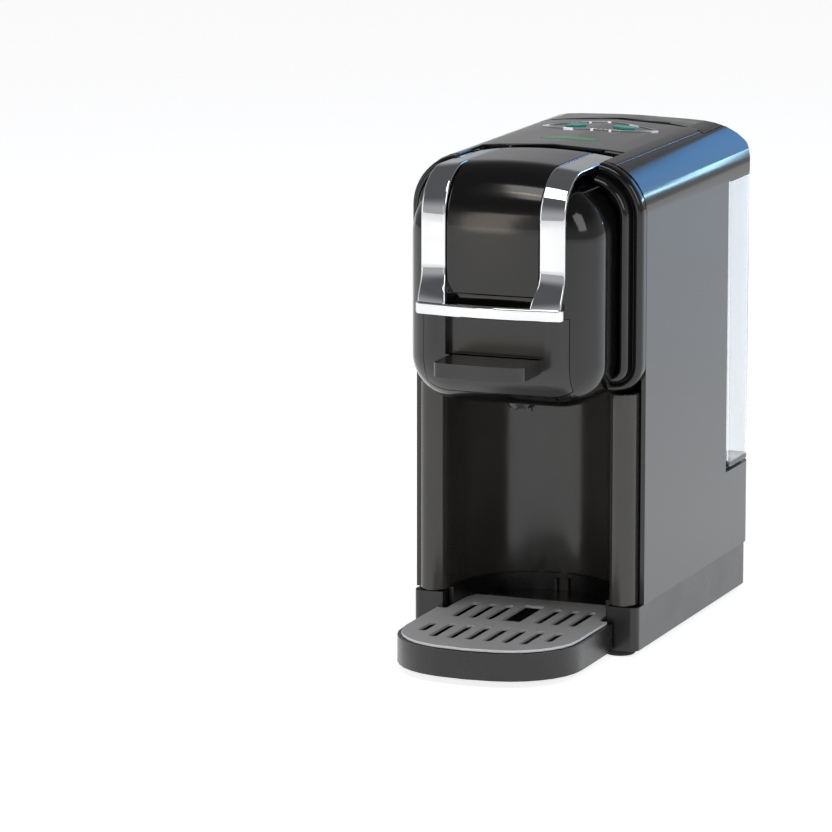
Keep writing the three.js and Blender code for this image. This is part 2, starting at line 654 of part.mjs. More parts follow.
const earInner = leverHalf + 0.6;
const earBottom = hingeZ - hingeNose - 6;
const ear = outline([
  [hingeBack - 9, earBottom], [hingeBack + 9, earBottom], [hingeBack + 6, hingeZ + 4, 3],
  [hingeBack - 6, hingeZ + 4, 3],
]);
const bracket = alongX(ear, earInner, earInner + 3.6)
  .add(alongX(ear, -earInner - 3.6, -earInner))
  .add(box(-earInner - 1, earInner + 1, hingeBack - 9, hingeBack + 9, earBottom, earBottom + 3))
  .subtract(hingeHole);
add('hinge_bracket', bracket, 'aluminium');

// ---- drip tray and grid -------------------------------------------------
const lobePlan = (inset) => outline([
  [-trayHalf + inset, -noseReach - 1 - inset], [-trayHalf + inset, trayFront + 6 + inset, 38 - inset],
  [0, trayFront - 2 + inset, 80], [trayHalf - inset, trayFront + 6 + inset, 38 - inset],
  [trayHalf - inset, -noseReach - 1 - inset],
]);
const tailPlan = (inset) => bayPlan(-0.4 - inset, -noseReach - 8);
const lobeBottom = baseBottom;
const tailBottom = baseBottom + wall + slideGap;
const trayOuter = alongZ(lobePlan(0), lobeBottom, trayTop)
  .add(alongZ(tailPlan(0), tailBottom, trayTop));
const trayInner = alongZ(lobePlan(trayRim), tailBottom + 2, 400)
  .add(alongZ(tailPlan(2.2), tailBottom + 2, 400).intersect(box(-200, 200, -100, gridBack - 2, 0, 400)));
const deck = alongZ(tailPlan(0), trayTop - 1, gridTop).intersect(box(-200, 200, gridBack + 0.3, 400, 0, 400));
const collar = alongZ(tailPlan(0), trayTop - 1, collarTop)
  .subtract(alongZ(tailPlan(2.2), 0, 400))
  .intersect(box(-200, 200, bayCentre - 8, 400, 0, 400));
const ribs = [-3, 3]
  .map((x) => box(x - 0.8, x + 0.8, bayBack - 4.5, bayBack - 1.5, trayTop, collarTop - 2))
  .reduce((sum, rib) => sum.add(rib));
add('drip_tray', trayOuter.add(deck).subtract(trayInner).add(collar).add(ribs), 'blackPlastic');

const slotHalf = 2.1;
const frontSlots = [-34, -24.5, -15, -5.5, 4, 13.5, 23, 32.5]
  .map((x) => [x, Math.abs(x) > 30 ? -62 : -72, -42]);
const backSlots = [-30, -21, -12, 14, 23, 32].map((x) => [x, -27, 6]);
let grid = alongZ(lobePlan(gridInset), trayTop + 0.3, gridTop)
  .add(alongZ(tailPlan(2.7), trayTop + 0.3, gridTop).intersect(box(-200, 200, -100, gridBack, 0, 400)))
  .subtract(box(-5, 5, -27, 9, 0, 100));
for (const [x, y0, y1] of [...frontSlots, ...backSlots]) {
  grid = grid.subtract(alongZ(outline([
    [x - slotHalf, y0, 2], [x + slotHalf, y0, 2], [x + slotHalf, y1, 2], [x - slotHalf, y1, 2],
  ]), 0, 100));
}
add('drip_grid', grid, 'brushedSteel');

// ---- working parts inside the column ------------------------------------
const innerFront = bayBack + wall + 3;
const innerBack = partitionFront - 2;
const shelfZ = 122;
const pumpX = -24;
const pumpY = (innerFront + innerBack) / 2 + 4;
const frameHalf = halfWidth - wall - 5;
const chassis = box(-frameHalf, frameHalf, innerFront, innerBack, shelfZ, shelfZ + 2.5)
  .add(box(-frameHalf, -frameHalf + 2.5, innerFront, innerBack, baseTop + 1, shelfZ + 80))
  .add(box(frameHalf - 2.5, frameHalf, innerFront, innerBack, baseTop + 1, shelfZ + 80))
  .subtract(cylinderZ(7, shelfZ - 10, shelfZ + 10, pumpX, pumpY));
add('inner_frame', chassis, 'aluminium');
const pumpBottom = baseTop + 12;
const pump = cylinderZ(16, pumpBottom, pumpBottom + 44, pumpX, pumpY)
  .add(cylinderZ(8, pumpBottom - 6, pumpBottom + 60, pumpX, pumpY))
  .add(box(pumpX - 19, pumpX + 19, pumpY - 17, pumpY + 17, pumpBottom + 6, pumpBottom + 34));
add('pump', pump, 'blackPlastic');
const mount = turned([
  [8.3, pumpBottom - 7], [14, pumpBottom - 7], [14, pumpBottom - 0.3], [8.3, pumpBottom - 0.3],
  [8.3, pumpBottom - 7],
], pumpX, pumpY);
add('pump_mount', mount, 'rubber');
const boilerZ = shelfZ + 16;
const boilerY = (innerFront + innerBack) / 2 - 6;
const boiler = alongZ(outline([
  [-30, boilerY - 15, 6], [30, boilerY - 15, 6], [30, boilerY + 15, 6], [-30, boilerY + 15, 6],
]), boilerZ, boilerZ + 58)
  .add(cylinderZ(4, boilerZ + 50, boilerZ + 66, -18, boilerY))
  .add(cylinderZ(4, boilerZ + 50, boilerZ + 66, 18, boilerY));
add('boiler', boiler, 'aluminium');
const bracketPlate = box(-19, 19, boilerY - 12, boilerY + 12, shelfZ + 2.8, boilerZ - 0.3);
add('boiler_bracket', bracketPlate, 'brushedSteel');
const board = box(-42, 42, innerBack - 4, innerBack - 2.4, shelfZ + 10, shelfZ + 78);
add('control_board', board, 'board');
const meterX = 24;
const meter = cylinderZ(12, pumpBottom, pumpBottom + 14, meterX, pumpY)
  .add(cylinderZ(3.4, pumpBottom - 6, pumpBottom + 22, meterX, pumpY));
add('flow_meter', meter, 'naturalPlastic');
const socket = turned([
  [6.3, 0], [10, 0], [10, 12], [3, 12], [3, 9], [6.3, 9], [6.3, 0],
], 0, 0).rotate([90, 0, 0]).translate([0, partitionFront - 0.4, tankPortHeight]);
add('tank_socket', socket, 'rubber');
const socketFront = partitionFront - 12.9;
add('hose_tank', hose(2.6, [
  [0, socketFront, tankPortHeight], [2, socketFront - 5, tankPortHeight],
  [12, socketFront - 8, tankPortHeight - 4],
  [meterX, pumpY, pumpBottom + 34], [meterX, pumpY, pumpBottom + 23],
]), 'hoseSilicone');
add('hose_pump', hose(2.6, [
  [meterX, pumpY, pumpBottom - 6.4], [meterX, pumpY, pumpBottom - 9], [meterX - 8, pumpY, pumpBottom - 14],
  [pumpX + 8, pumpY, pumpBottom - 14], [pumpX, pumpY, pumpBottom - 9], [pumpX, pumpY, pumpBottom - 6.4],
]), 'hoseSilicone');
add('pipe_boiler', hose(2.2, [
  [pumpX, pumpY, pumpBottom + 60.4], [pumpX, pumpY, shelfZ - 4], [pumpX - 1, pumpY, shelfZ + 6],
  [pumpX - 12, pumpY, boilerZ - 2], [pumpX - 14, boilerY, boilerZ + 20], [pumpX - 14, boilerY, boilerZ + 60],
  [pumpX - 8, boilerY, boilerZ + 74], [-18, boilerY, boilerZ + 73], [-18, boilerY, boilerZ + 66.4],
]), 'hoseSilicone');
add('pipe_brew', hose(2.2, [
  [18, boilerY, boilerZ + 66.4], [18, boilerY - 1, boilerZ + 73], [14, innerFront - 6, boilerZ + 75],
  [6, hingeBack, boilerZ + 74], [0, podBack + podRadius + 2.5, pistonBottom + 38],
  [0, podBack + podRadius + 1.9, pistonBottom + 32], [0, podBack + podRadius + 1.9, pistonBottom + 28.4],
]), 'hoseSilicone');

// The origin sits midway between the tray's front and the machine's back.
const extent = new THREE.Box3().setFromObject(group);
group.position.y = -(extent.min.y + extent.max.y) / 2;

export default group;
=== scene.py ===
# %% [markdown]
# Pod coffee machine. The CAD model comes in first as a fixed frame. It settles where
# every piece is and how it moves, so the modelling here adds only form and finish.

# %% Load the frame
import json
import math

import bmesh
import bpy
from mathutils import Matrix, Vector


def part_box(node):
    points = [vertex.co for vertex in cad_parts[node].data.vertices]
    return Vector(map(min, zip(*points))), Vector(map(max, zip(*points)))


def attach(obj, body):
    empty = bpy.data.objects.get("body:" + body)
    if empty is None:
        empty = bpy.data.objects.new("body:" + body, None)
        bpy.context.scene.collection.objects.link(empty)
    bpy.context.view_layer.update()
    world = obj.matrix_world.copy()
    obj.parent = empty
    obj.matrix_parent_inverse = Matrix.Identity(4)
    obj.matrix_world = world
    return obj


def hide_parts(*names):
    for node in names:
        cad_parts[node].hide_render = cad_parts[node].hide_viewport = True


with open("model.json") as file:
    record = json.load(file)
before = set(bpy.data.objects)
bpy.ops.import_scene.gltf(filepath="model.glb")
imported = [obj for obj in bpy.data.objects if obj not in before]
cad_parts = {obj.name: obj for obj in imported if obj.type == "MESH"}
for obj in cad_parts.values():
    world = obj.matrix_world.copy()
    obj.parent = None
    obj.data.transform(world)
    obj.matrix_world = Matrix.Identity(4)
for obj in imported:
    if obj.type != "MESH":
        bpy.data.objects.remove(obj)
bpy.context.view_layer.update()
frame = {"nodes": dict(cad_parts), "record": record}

# %% [markdown]
# The machine was drawn from one seam: the plane where the front arch meets the side
# shells. Working in millimetres from that seam keeps the numbers short, and one
# function turns them into metres in the frame.

# %% Millimetres from the seam
MM = 0.001
seam_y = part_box("front_frame")[1].y


def at(x, y, z):
    return Vector((x * MM, seam_y + y * MM, z * MM))


def seam_box(node):
    low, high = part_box(node)
    shift = Vector((0, seam_y, 0))
    return (low - shift) / MM, (high - shift) / MM


for name in ("front_frame", "head_housing", "lever_band", "lever_hood", "cup_bay"):
    low, high = seam_box(name)
    print(name, [round(c, 1) for c in low], [round(c, 1) for c in high])

# %% [markdown]
# A colour is easier to pick as the hex code a screen shows, but a shader counts light,
# so each code is turned to linear once, here.

# %% Colour and nodes


def linear(code):
    parts = [int(code[i:i + 2], 16) / 255 for i in (1, 3, 5)]
    return tuple(c / 12.92 if c <= 0.04045 else ((c + 0.055) / 1.055) ** 2.4 for c in parts) + (1.0,)


def add_node(tree, kind, sockets=None, **settings):
    made = tree.nodes.new(kind)
    for name, value in settings.items():
        setattr(made, name, value)
    for name, value in (sockets or {}).items():
        if isinstance(value, bpy.types.NodeSocket):
            tree.links.new(value, made.inputs[name])
        else:
            made.inputs[name].default_value = value
    return made


def new_material(name, **sockets):
    material = bpy.data.materials.new(name)
    material.use_nodes = True
    tree = material.node_tree
    shader = tree.nodes["Principled BSDF"]
    for key, value in sockets.items():
        shader.inputs[key.replace("_", " ")].default_value = value
    print("material:", name)
    return material, tree, shader


def per_metre(size_mm):
    return 1 / (size_mm * MM)


# %% [markdown]
# Moulded plastic is never one even tone. The mould's grain, small sinks in the wall
# and years of wiping change how it shines from place to place. A fine noise gives the
# grain as bump, and a broad one shifts colour and roughness.

# %% Moulded plastic


def moulded(name, dark, light, rough, rough_spread, grain_mm, grain_depth_mm, patch_mm=28, **sockets):
    material, tree, shader = new_material(name, **sockets)
    place = add_node(tree, "ShaderNodeTexCoord")
    patch = add_node(tree, "ShaderNodeTexNoise",
                     {"Vector": place.outputs["Object"], "Scale": per_metre(patch_mm), "Detail": 4.0})
    grain = add_node(tree, "ShaderNodeTexNoise",
                     {"Vector": place.outputs["Object"], "Scale": per_metre(grain_mm), "Detail": 3.0})
    tint = add_node(tree, "ShaderNodeMix",
                    {0: patch.outputs["Fac"], 6: linear(dark), 7: linear(light)}, data_type="RGBA")
    tree.links.new(tint.outputs[2], shader.inputs["Base Color"])
    shine = add_node(tree, "ShaderNodeMapRange",
                     {"Value": patch.outputs["Fac"], "From Min": 0.3, "From Max": 0.7,
                      "To Min": rough - rough_spread, "To Max": rough + rough_spread})
    tree.links.new(shine.outputs["Result"], shader.inputs["Roughness"])
    relief = add_node(tree, "ShaderNodeBump",
                      {"Height": grain.outputs["Fac"], "Strength": 1.0, "Distance": grain_depth_mm * MM})
    tree.links.new(relief.outputs["Normal"], shader.inputs["Normal"])
    return material


# Acrylonitrile butadiene styrene (ABS), moulded in a polished tool: a deep black mirror
# with a slow waviness that bends long reflections.
gloss_abs = moulded("gloss_black_abs", "#0b0b0c", "#111112", 0.10, 0.03, 14, 0.035, IOR=1.53)
# ABS painted satin: the paint's fine orange peel spreads every highlight.
satin_abs = moulded("satin_painted_abs", "#131415", "#161718", 0.15, 0.012, 0.9, 0.002, IOR=1.55)
# The same polished ABS for the cup bay, its colour painted lighter and warmer as a painted reflection of
# floor and warm lamps.
bay_painted_light_abs = moulded("gloss_black_abs_painted_bay_light", "#2b2a28", "#383633", 0.17, 0.04, 14, 0.03, IOR=1.53)
# ABS from a spark-eroded tool: a fine even grain that stays half matt.
textured_abs = moulded("textured_black_abs", "#222223", "#29292a", 0.20, 0.04, 0.8, 0.004, IOR=1.53)
base_abs = moulded("moulded_black_abs", "#101011", "#161617", 0.28, 0.04, 0.8, 0.002, IOR=1.53)
# Synthetic rubber, moulded: dull and slightly dusty.
rubber = moulded("moulded_rubber", "#151515", "#202020", 0.85, 0.06, 0.7, 0.02, IOR=1.52)
# Nylon in its natural colour: milky cream with a soft shine.
nylon = moulded("natural_nylon", "#c9c2b0", "#d6d0c0", 0.45, 0.05, 1.5, 0.01, IOR=1.53)
# Silicone hose, extruded: milky and slightly tacky.
silicone = moulded("extruded_silicone", "#cfcabd", "#dcd8cd", 0.55, 0.06, 1.0, 0.01, IOR=1.41)
# Glass-fibre board under green solder mask.
board = moulded("solder_mask_board", "#124a2c", "#1b5c38", 0.35, 0.08, 2.5, 0.03, 9, IOR=1.55)
# Polycarbonate lens over a lamp: lit teal, brighter where the lamp is near.
teal_lens = moulded("lit_teal_polycarbonate", "#1f7f78", "#2f9f94", 0.22, 0.04, 1.5, 0.004, 6,
                    IOR=1.58, Emission_Color=linear("#2f9f94"), Emission_Strength=0.22)
# The same plastic in green.
green_lens = moulded("lit_green_polycarbonate", "#157a42", "#1f9a55", 0.22, 0.04, 1.5, 0.004, 6,
                     IOR=1.58, Emission_Color=linear("#1d9350"), Emission_Strength=0.12)
# Smoked acrylic over the panel: almost black and very smooth.
smoked = moulded("smoked_acrylic", "#08090a", "#0d0e10", 0.06, 0.02, 16, 0.02, IOR=1.49)

# %% [markdown]
# Metal takes its look from how it was worked. Plating over plastic keeps a faint
# ripple of the moulding below. Brushing leaves fine scratches in one direction, which
# a noise gives when its scale is far finer across the strokes than along them.

# %% Metals


def worked_metal(name, dark, light, rough, rough_spread, across_mm, along_mm, depth_mm, axis="X"):
    material, tree, shader = new_material(name, Metallic=1.0)
    place = add_node(tree, "ShaderNodeTexCoord")
    scale = {"X": (along_mm, across_mm, across_mm), "Y": (across_mm, along_mm, across_mm),
             "Z": (across_mm, across_mm, along_mm)}[axis]
    stretch = add_node(tree, "ShaderNodeMapping",
                       {"Vector": place.outputs["Object"], "Scale": [per_metre(s) for s in scale]})
    strokes = add_node(tree, "ShaderNodeTexNoise",
                       {"Vector": stretch.outputs["Vector"], "Scale": 1.0, "Detail": 3.0})
    tint = add_node(tree, "ShaderNodeMix",
                    {0: strokes.outputs["Fac"], 6: linear(dark), 7: linear(light)}, data_type="RGBA")
    tree.links.new(tint.outputs[2], shader.inputs["Base Color"])
    shine = add_node(tree, "ShaderNodeMapRange",
                     {"Value": strokes.outputs["Fac"], "From Min": 0.3, "From Max": 0.7,
                      "To Min": rough - rough_spread, "To Max": rough + rough_spread})
    tree.links.new(shine.outputs["Result"], shader.inputs["Roughness"])
    relief = add_node(tree, "ShaderNodeBump",
                      {"Height": strokes.outputs["Fac"], "Strength": 1.0, "Distance": depth_mm * MM})
    tree.links.new(relief.outputs["Normal"], shader.inputs["Normal"])
    return material


# Bright chrome over ABS: a mirror, with the moulding's slow ripple.
chrome = worked_metal("plated_chrome", "#dcdee0", "#eceef0", 0.05, 0.015, 16, 16, 0.03)
# Stainless sheet, brushed along the slots.
brushed_steel = worked_metal("brushed_stainless", "#e2e3e4", "#f0f0f1", 0.66, 0.06, 0.5, 30, 0.01, "X")
# Turned and ground steel for pins, screws and the cup.
ground_steel = worked_metal("ground_steel", "#a5a7a9", "#c0c2c4", 0.22, 0.05, 0.4, 12, 0.003, "Z")
# Aluminium, die cast: a dull skin with small cold marks.
cast_aluminium = worked_metal("cast_aluminium", "#8d9093", "#a8abae", 0.42, 0.07, 2.2, 2.2, 0.03)

# %% [markdown]
# The tank is clear copolyester, blown thin enough to see through. It is a shader with
# full transmission; a faint ripple keeps the far wall from looking like nothing at all.

# %% Clear tank
clear, clear_tree, clear_shader = new_material(
    "moulded_clear_copolyester", Base_Color=linear("#eaeced"), IOR=1.45, Transmission_Weight=1.0)
place = add_node(clear_tree, "ShaderNodeTexCoord")
ripple = add_node(clear_tree, "ShaderNodeTexNoise",
                  {"Vector": place.outputs["Object"], "Scale": per_metre(35), "Detail": 2.0})
haze = add_node(clear_tree, "ShaderNodeMapRange",
                {"Value": ripple.outputs["Fac"], "To Min": 0.02, "To Max": 0.09})
clear_tree.links.new(haze.outputs["Result"], clear_shader.inputs["Roughness"])
relief = add_node(clear_tree, "ShaderNodeBump",
                  {"Height": ripple.outputs["Fac"], "Strength": 1.0, "Distance": 0.05 * MM})
clear_tree.links.new(relief.outputs["Normal"], clear_shader.inputs["Normal"])

# %% [markdown]
# Most CAD nodes already have the right shape. They keep it, and take a finish by the
# material slot the record gives them. Welding and weighted normals make their facets
# shade as the smooth faces they stand for.

# %% Finish the carried-over nodes
finish_of_slot = {
    "shell_grey": satin_abs, "gloss_black": gloss_abs, "drawer_black": textured_abs,
    "base_black": base_abs, "lever_chrome": chrome, "grid_steel": brushed_steel,
    "small_steel": ground_steel, "tank_clear": clear, "panel_lens": smoked,
    "panel_trim": chrome, "button_teal": teal_lens, "light_green": green_lens,
    "rubber": rubber, "aluminium": cast_aluminium, "natural": nylon, "board": board,
    "hose": silicone,
}
slot_of = {part["node"]: part["material_slot"] for part in frame["record"]["subparts"]}
body_of = {}
for body, members in frame["record"]["behaviour"]["bodies"].items():
    for member in members:
        body_of[member] = body


def smooth_faces(obj):
    for face in obj.data.polygons:
        face.use_smooth = True


def soften(obj, edge_mm=0.3, angle=32, segments=2):
    weld = obj.modifiers.new("weld", "WELD")
    weld.merge_threshold = 0.02 * MM
    edge = obj.modifiers.new("soft edges", "BEVEL")
    edge.width = edge_mm * MM
    edge.segments = segments
    edge.limit_method = "ANGLE"
    edge.angle_limit = math.radians(angle)
    edge.harden_normals = True
    even = obj.modifiers.new("even shading", "WEIGHTED_NORMAL")
    even.keep_sharp = True


thin_pieces = ("panel", "control", "button", "status")
for name, obj in frame["nodes"].items():
    obj.data.materials.clear()
    obj.data.materials.append(finish_of_slot[slot_of[name]])
    smooth_faces(obj)
    soften(obj, 0.08 if name.startswith(thin_pieces) else 0.3)
print("finished", len(frame["nodes"]), "CAD nodes")

# %% [markdown]
# The pieces that carry the machine's looks are modelled afresh. Each starts as a plain
# block or a short chain of points in millimetres from the seam, and ends as one mesh in
# metres that rides on the CAD body it belongs to.

# %% Modelling helpers
from itertools import combinations

to_frame = Matrix.Translation((0, seam_y, 0)) @ Matrix.Scale(MM, 4)


def block(low, high):
    bm = bmesh.new()
    size = [h - l for l, h in zip(low, high)]
    middle = [(l + h) / 2 for l, h in zip(low, high)]
    bmesh.ops.create_cube(bm, size=1, matrix=Matrix.Translation(middle) @ Matrix.Diagonal((*size, 1)))
    return bm


def round_edges(bm, pick, radius, segments=10):
    edges = [e for e in bm.edges if pick(*[v.co for v in e.verts])]
    bmesh.ops.bevel(bm, geom=edges, offset=radius, offset_type="OFFSET", segments=segments,
                    profile=0.5, affect="EDGES", clamp_overlap=False, material=-1)


def rounded_face(corners, plane, level, segments=8):
    """One flat face from (u, v, reach) corners. Rounding starts at reach back along a corner's edges."""
    spot = {"XY": lambda u, v: (u, v, level), "XZ": lambda u, v: (u, level, v)}
    bm = bmesh.new()
    verts = [bm.verts.new(spot[plane](u, v)) for u, v, _ in corners]
    bm.faces.new(verts)
    for vert, (_, _, reach) in zip(verts, corners):
        if reach:
            bmesh.ops.bevel(bm, geom=[vert], offset=reach, offset_type="OFFSET", segments=segments,
                            profile=0.5, affect="VERTICES", clamp_overlap=False, material=-1)
    bm.faces.ensure_lookup_table()
    return bm, bm.faces[0]


def cut_line(bm, axis, value, drop=None):
    """Cuts a line of edges square to an axis, and can drop what lies above or below it."""
    normal = Vector((0, 0, 0))
    normal[axis] = 1
    point = normal * value
    bmesh.ops.bisect_plane(bm, geom=bm.verts[:] + bm.edges[:] + bm.faces[:], plane_co=point,
                           plane_no=normal, dist=1e-4, clear_outer=drop == "above",
                           clear_inner=drop == "below")


def close_flat(bm, axis, value):
    rim = [e for e in bm.edges if e.is_boundary and all(abs(v.co[axis] - value) < 1e-3 for v in e.verts)]
    bmesh.ops.edgeloop_fill(bm, edges=rim)


def notch(bm, low, high):
    """Takes a box-shaped notch out of a closed solid. A side given as None is open."""
    planes = [(axis, side[axis]) for axis in range(3) for side in (low, high) if side[axis] is not None]
    for axis, value in planes:
        cut_line(bm, axis, value)

    def inside(c):
        above = all(low[a] is None or c[a] > low[a] for a in range(3))
        return above and all(high[a] is None or c[a] < high[a] for a in range(3))

    def on(v, plane):
        return abs(v.co[plane[0]] - plane[1]) < 1e-3

    bmesh.ops.delete(bm, geom=[f for f in bm.faces if inside(f.calc_center_median())], context="FACES")
    rim = [v for v in bm.verts if v.is_boundary]
    ends = [[side[a] for side in (low, high) if side[a] is not None] for a in range(3)]
    deep = [bm.verts.new((x, y, z)) for x in ends[0] for y in ends[1] for z in ends[2]]
    for one, two in combinations(planes, 2):
        if one[0] != two[0]:
            line = [v for v in rim + deep if on(v, one) and on(v, two)]
            line.sort(key=lambda v: v.co[3 - one[0] - two[0]])
            for a, b in zip(line[::2], line[1::2]):
                if not bm.edges.get((a, b)):
                    bm.edges.new((a, b))
    for plane in planes:
        net = [e for e in bm.edges if (e.is_boundary or e.is_wire) and all(on(v, plane) for v in e.verts)]
        bmesh.ops.edgenet_fill(bm, edges=net)


def thicken(bm, faces, height):
    """Lifts flat faces straight up into a solid plate."""
    made = bmesh.ops.extrude_face_region(bm, geom=faces)["geom"]
    bmesh.ops.translate(bm, vec=(0, 0, height), verts=[g for g in made if isinstance(g, bmesh.types.BMVert)])


def pour_in(bm, other):
    """Adds another solid to this one's mesh."""
    carrier = bpy.data.meshes.new("carrier")
    other.to_mesh(carrier)
    other.free()
    bm.from_mesh(carrier)
    bpy.data.meshes.remove(carrier)


def finish_piece(bm, name, slot, stands_for, wall_mm=0, edge_mm=0.4, segments=2, facing=None, angle=32):
    bmesh.ops.remove_doubles(bm, verts=bm.verts, dist=0.005)
    bmesh.ops.recalc_face_normals(bm, faces=bm.faces)
    if facing is not None:
        probe = max(bm.faces, key=lambda f: f.calc_center_median().dot(Vector(facing)))
        if probe.normal.dot(Vector(facing)) < 0:
            bmesh.ops.reverse_faces(bm, faces=bm.faces)
    bmesh.ops.transform(bm, matrix=to_frame, verts=bm.verts)
    mesh = bpy.data.meshes.new(name)
    bm.to_mesh(mesh)
    bm.free()
    obj = bpy.data.objects.new(name, mesh)
    bpy.context.scene.collection.objects.link(obj)
    mesh.materials.append(finish_of_slot[slot])
    smooth_faces(obj)
    if wall_mm:
        wall = obj.modifiers.new("wall", "SOLIDIFY")
        wall.thickness = wall_mm * MM
        wall.offset = -1
        wall.use_even_offset = True
    soften(obj, edge_mm, angle, segments)
    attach(obj, body_of[stands_for[0]])
    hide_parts(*stands_for)
    print(name, len(mesh.polygons), "faces")
    return obj


# %% [markdown]
# The front arch frames the brewing head with two rounded ridges and a valley. Moulders
# draw such a rim as one section run round the outline, so the outline face is stepped
# inwards and forwards along that section, and every step leaves a band of faces behind.

# %% Front arch
body_half, arch_low, shoulder_z, crown_z = 61, 134, 246.2, 252.2
arch_corners = [(-body_half, arch_low, 14), (body_half, arch_low, 14), (body_half, shoulder_z, 24),
                (0, crown_z, 30), (-body_half, shoulder_z, 24)]
arch, face = rounded_face(arch_corners, "XZ", 0, segments=12)
if face.normal.y > 0:
    bmesh.ops.reverse_faces(arch, faces=[face])
rim_section = [(0, 0), (0.02, 3.2), (0.2, 4.9), (0.8, 6.2), (1.8, 6.9), (3.0, 7.0), (3.9, 6.6), (4.5, 5.8),
               (4.9, 5.4), (5.2, 6.2), (5.35, 8.6), (5.6, 11.0), (6.2, 12.7), (7.2, 13.7), (8.3, 13.9),
               (9.3, 13.3), (10.0, 12.0), (10.4, 10.2), (10.5, 8.0), (10.52, 3.2)]
for (inset_a, rise_a), (inset_b, rise_b) in zip(rim_section, rim_section[1:]):
    bmesh.ops.inset_region(arch, faces=[face], thickness=inset_b - inset_a, depth=rise_b - rise_a,
                           use_even_offset=True, use_boundary=True)
close_flat(arch, 1, 0)
notch(arch, (-38.2, None, 226), (38.2, None, None))
finish_piece(arch, "front_arch", "gloss_black", ["front_frame"], edge_mm=0.5, angle=50)

# %% [markdown]
# The brewing head is one moulded shell, full and rounded like a cheek on each side. A
# block gets its big roundings first, then its front rim, then its underside is lifted
# towards the front like a hull, and last the drawer's window is cut and a wall given.

# %% Brewing head


head_half, head_front, head_back, head_low, head_top = 50, -50, -3.3, 128, 241
hull_lift = 7


def head_block():
    bm = block((-head_half, head_front, head_low), (head_half, head_back, head_top))
    round_edges(bm, lambda a, b: abs(a.y - b.y) > 40 and a.z > 200, 27, 14)
    round_edges(bm, lambda a, b: abs(a.y - b.y) > 40 and a.z < 150, 24, 14)
    round_edges(bm, lambda a, b: a.y < head_front + 0.1 and b.y < head_front + 0.1, 21, 12)
    for y in (-30, -26, -22, -18, -14):
        cut_line(bm, 1, y)
    for v in bm.verts:
        forward = min(max((-12 - v.co.y) / 38, 0), 1)
        low = min(max((162 - v.co.z) / 34, 0), 1)
        v.co.z += hull_lift * forward * forward * low
    return bm


drawer_half, drawer_low, drawer_high = 38, 136.5, 176.8
window_half, window_low, window_high, window_back = 38.3, 136.2, 177.1, -42
head = head_block()
for axis, value in ((0, -window_half), (0, window_half), (2, window_low), (2, window_high), (1, window_back)):
    cut_line(head, axis, value)


def in_window(face):
    middle = face.calc_center_median()
    return abs(middle.x) < window_half and window_low < middle.z < window_high and middle.y < window_back


open_faces = [f for f in head.faces if in_window(f) or f.calc_center_median().y > head_back - 0.1]
bmesh.ops.delete(head, geom=open_faces, context="FACES")
finish_piece(head, "brewing_head", "gloss_black", ["head_housing"], wall_mm=2.4, edge_mm=0.35,
             facing=(0, -1, 0))

# %% [markdown]
# The drawer front is cut from that same block, so its face runs flush into the head.
# A pocket above the grip leaves room for a thumb, and the grip is a bowed shelf.

# %% Pod drawer
drawer = head_block()
for axis, value, side in ((0, -drawer_half, "below"), (0, drawer_half, "above"), (2, drawer_low, "below"),
                          (2, drawer_high, "above"), (1, window_back - 0.4, "above")):
    cut_line(drawer, axis, value, side)
    close_flat(drawer, axis, value)
tab_half, tab_root, tab_front, tab_top, tab_thick = 23.5, -46, -73.8, 156, 7
notch(drawer, (-26, None, tab_top), (26, -45, None))
tab, face = rounded_face([(-tab_half, tab_root, 0), (-tab_half, tab_front, 3), (0, tab_front - 2.2, 14),
                          (tab_half, tab_front, 3), (tab_half, tab_root, 0)], "XY", tab_top - tab_thick, 6)
thicken(tab, [face], tab_thick)
pour_in(drawer, tab)
carrier_low = 165.8
carrier, face = rounded_face([(-30, -43, 0), (30, -43, 0), (30, 12, 4), (-30, 12, 4)], "XY", carrier_low, 4)
bmesh.ops.inset_region(carrier, faces=[face], thickness=1, depth=0, use_even_offset=True)
ring = bmesh.ops.create_circle(carrier, cap_ends=False, radius=19.2, segments=40,
                               matrix=Matrix.Translation((0, -12, carrier_low)))
inner = [e for e in face.edges]
bmesh.ops.delete(carrier, geom=[face], context="FACES_ONLY")
hoop = list({e for v in ring["verts"] for e in v.link_edges})
bmesh.ops.bridge_loops(carrier, edges=inner + hoop)
thicken(carrier, carrier.faces[:], 4)
pour_in(drawer, carrier)
finish_piece(drawer, "pod_drawer_front", "drawer_black", ["pod_drawer"], edge_mm=0.35)

# %% [markdown]
# Lever and hood share one path: up the front, round a wide bend, back along the top and
# down round the hinge. A short chain of edges is pushed along it by extrude and spin,
# which is how a strip would be bent over a former.

# %% Lever path
hinge_y, hinge_z, nose = 20.0, 239.5, 10.8


def extrude_chain(bm, edges, move):
    made = bmesh.ops.extrude_edge_only(bm, edges=edges)["geom"]
    bmesh.ops.translate(bm, vec=move, verts=[g for g in made if isinstance(g, bmesh.types.BMVert)])
    return [g for g in made if isinstance(g, bmesh.types.BMEdge)]


def spin_chain(bm, edges, centre, angle, steps):
    verts = {v for e in edges for v in e.verts}
    made = bmesh.ops.spin(bm, geom=list(verts) + edges, cent=centre, axis=(-1, 0, 0), angle=angle,
                          steps=steps, use_merge=False)["geom_last"]
    return [g for g in made if isinstance(g, bmesh.types.BMEdge)]


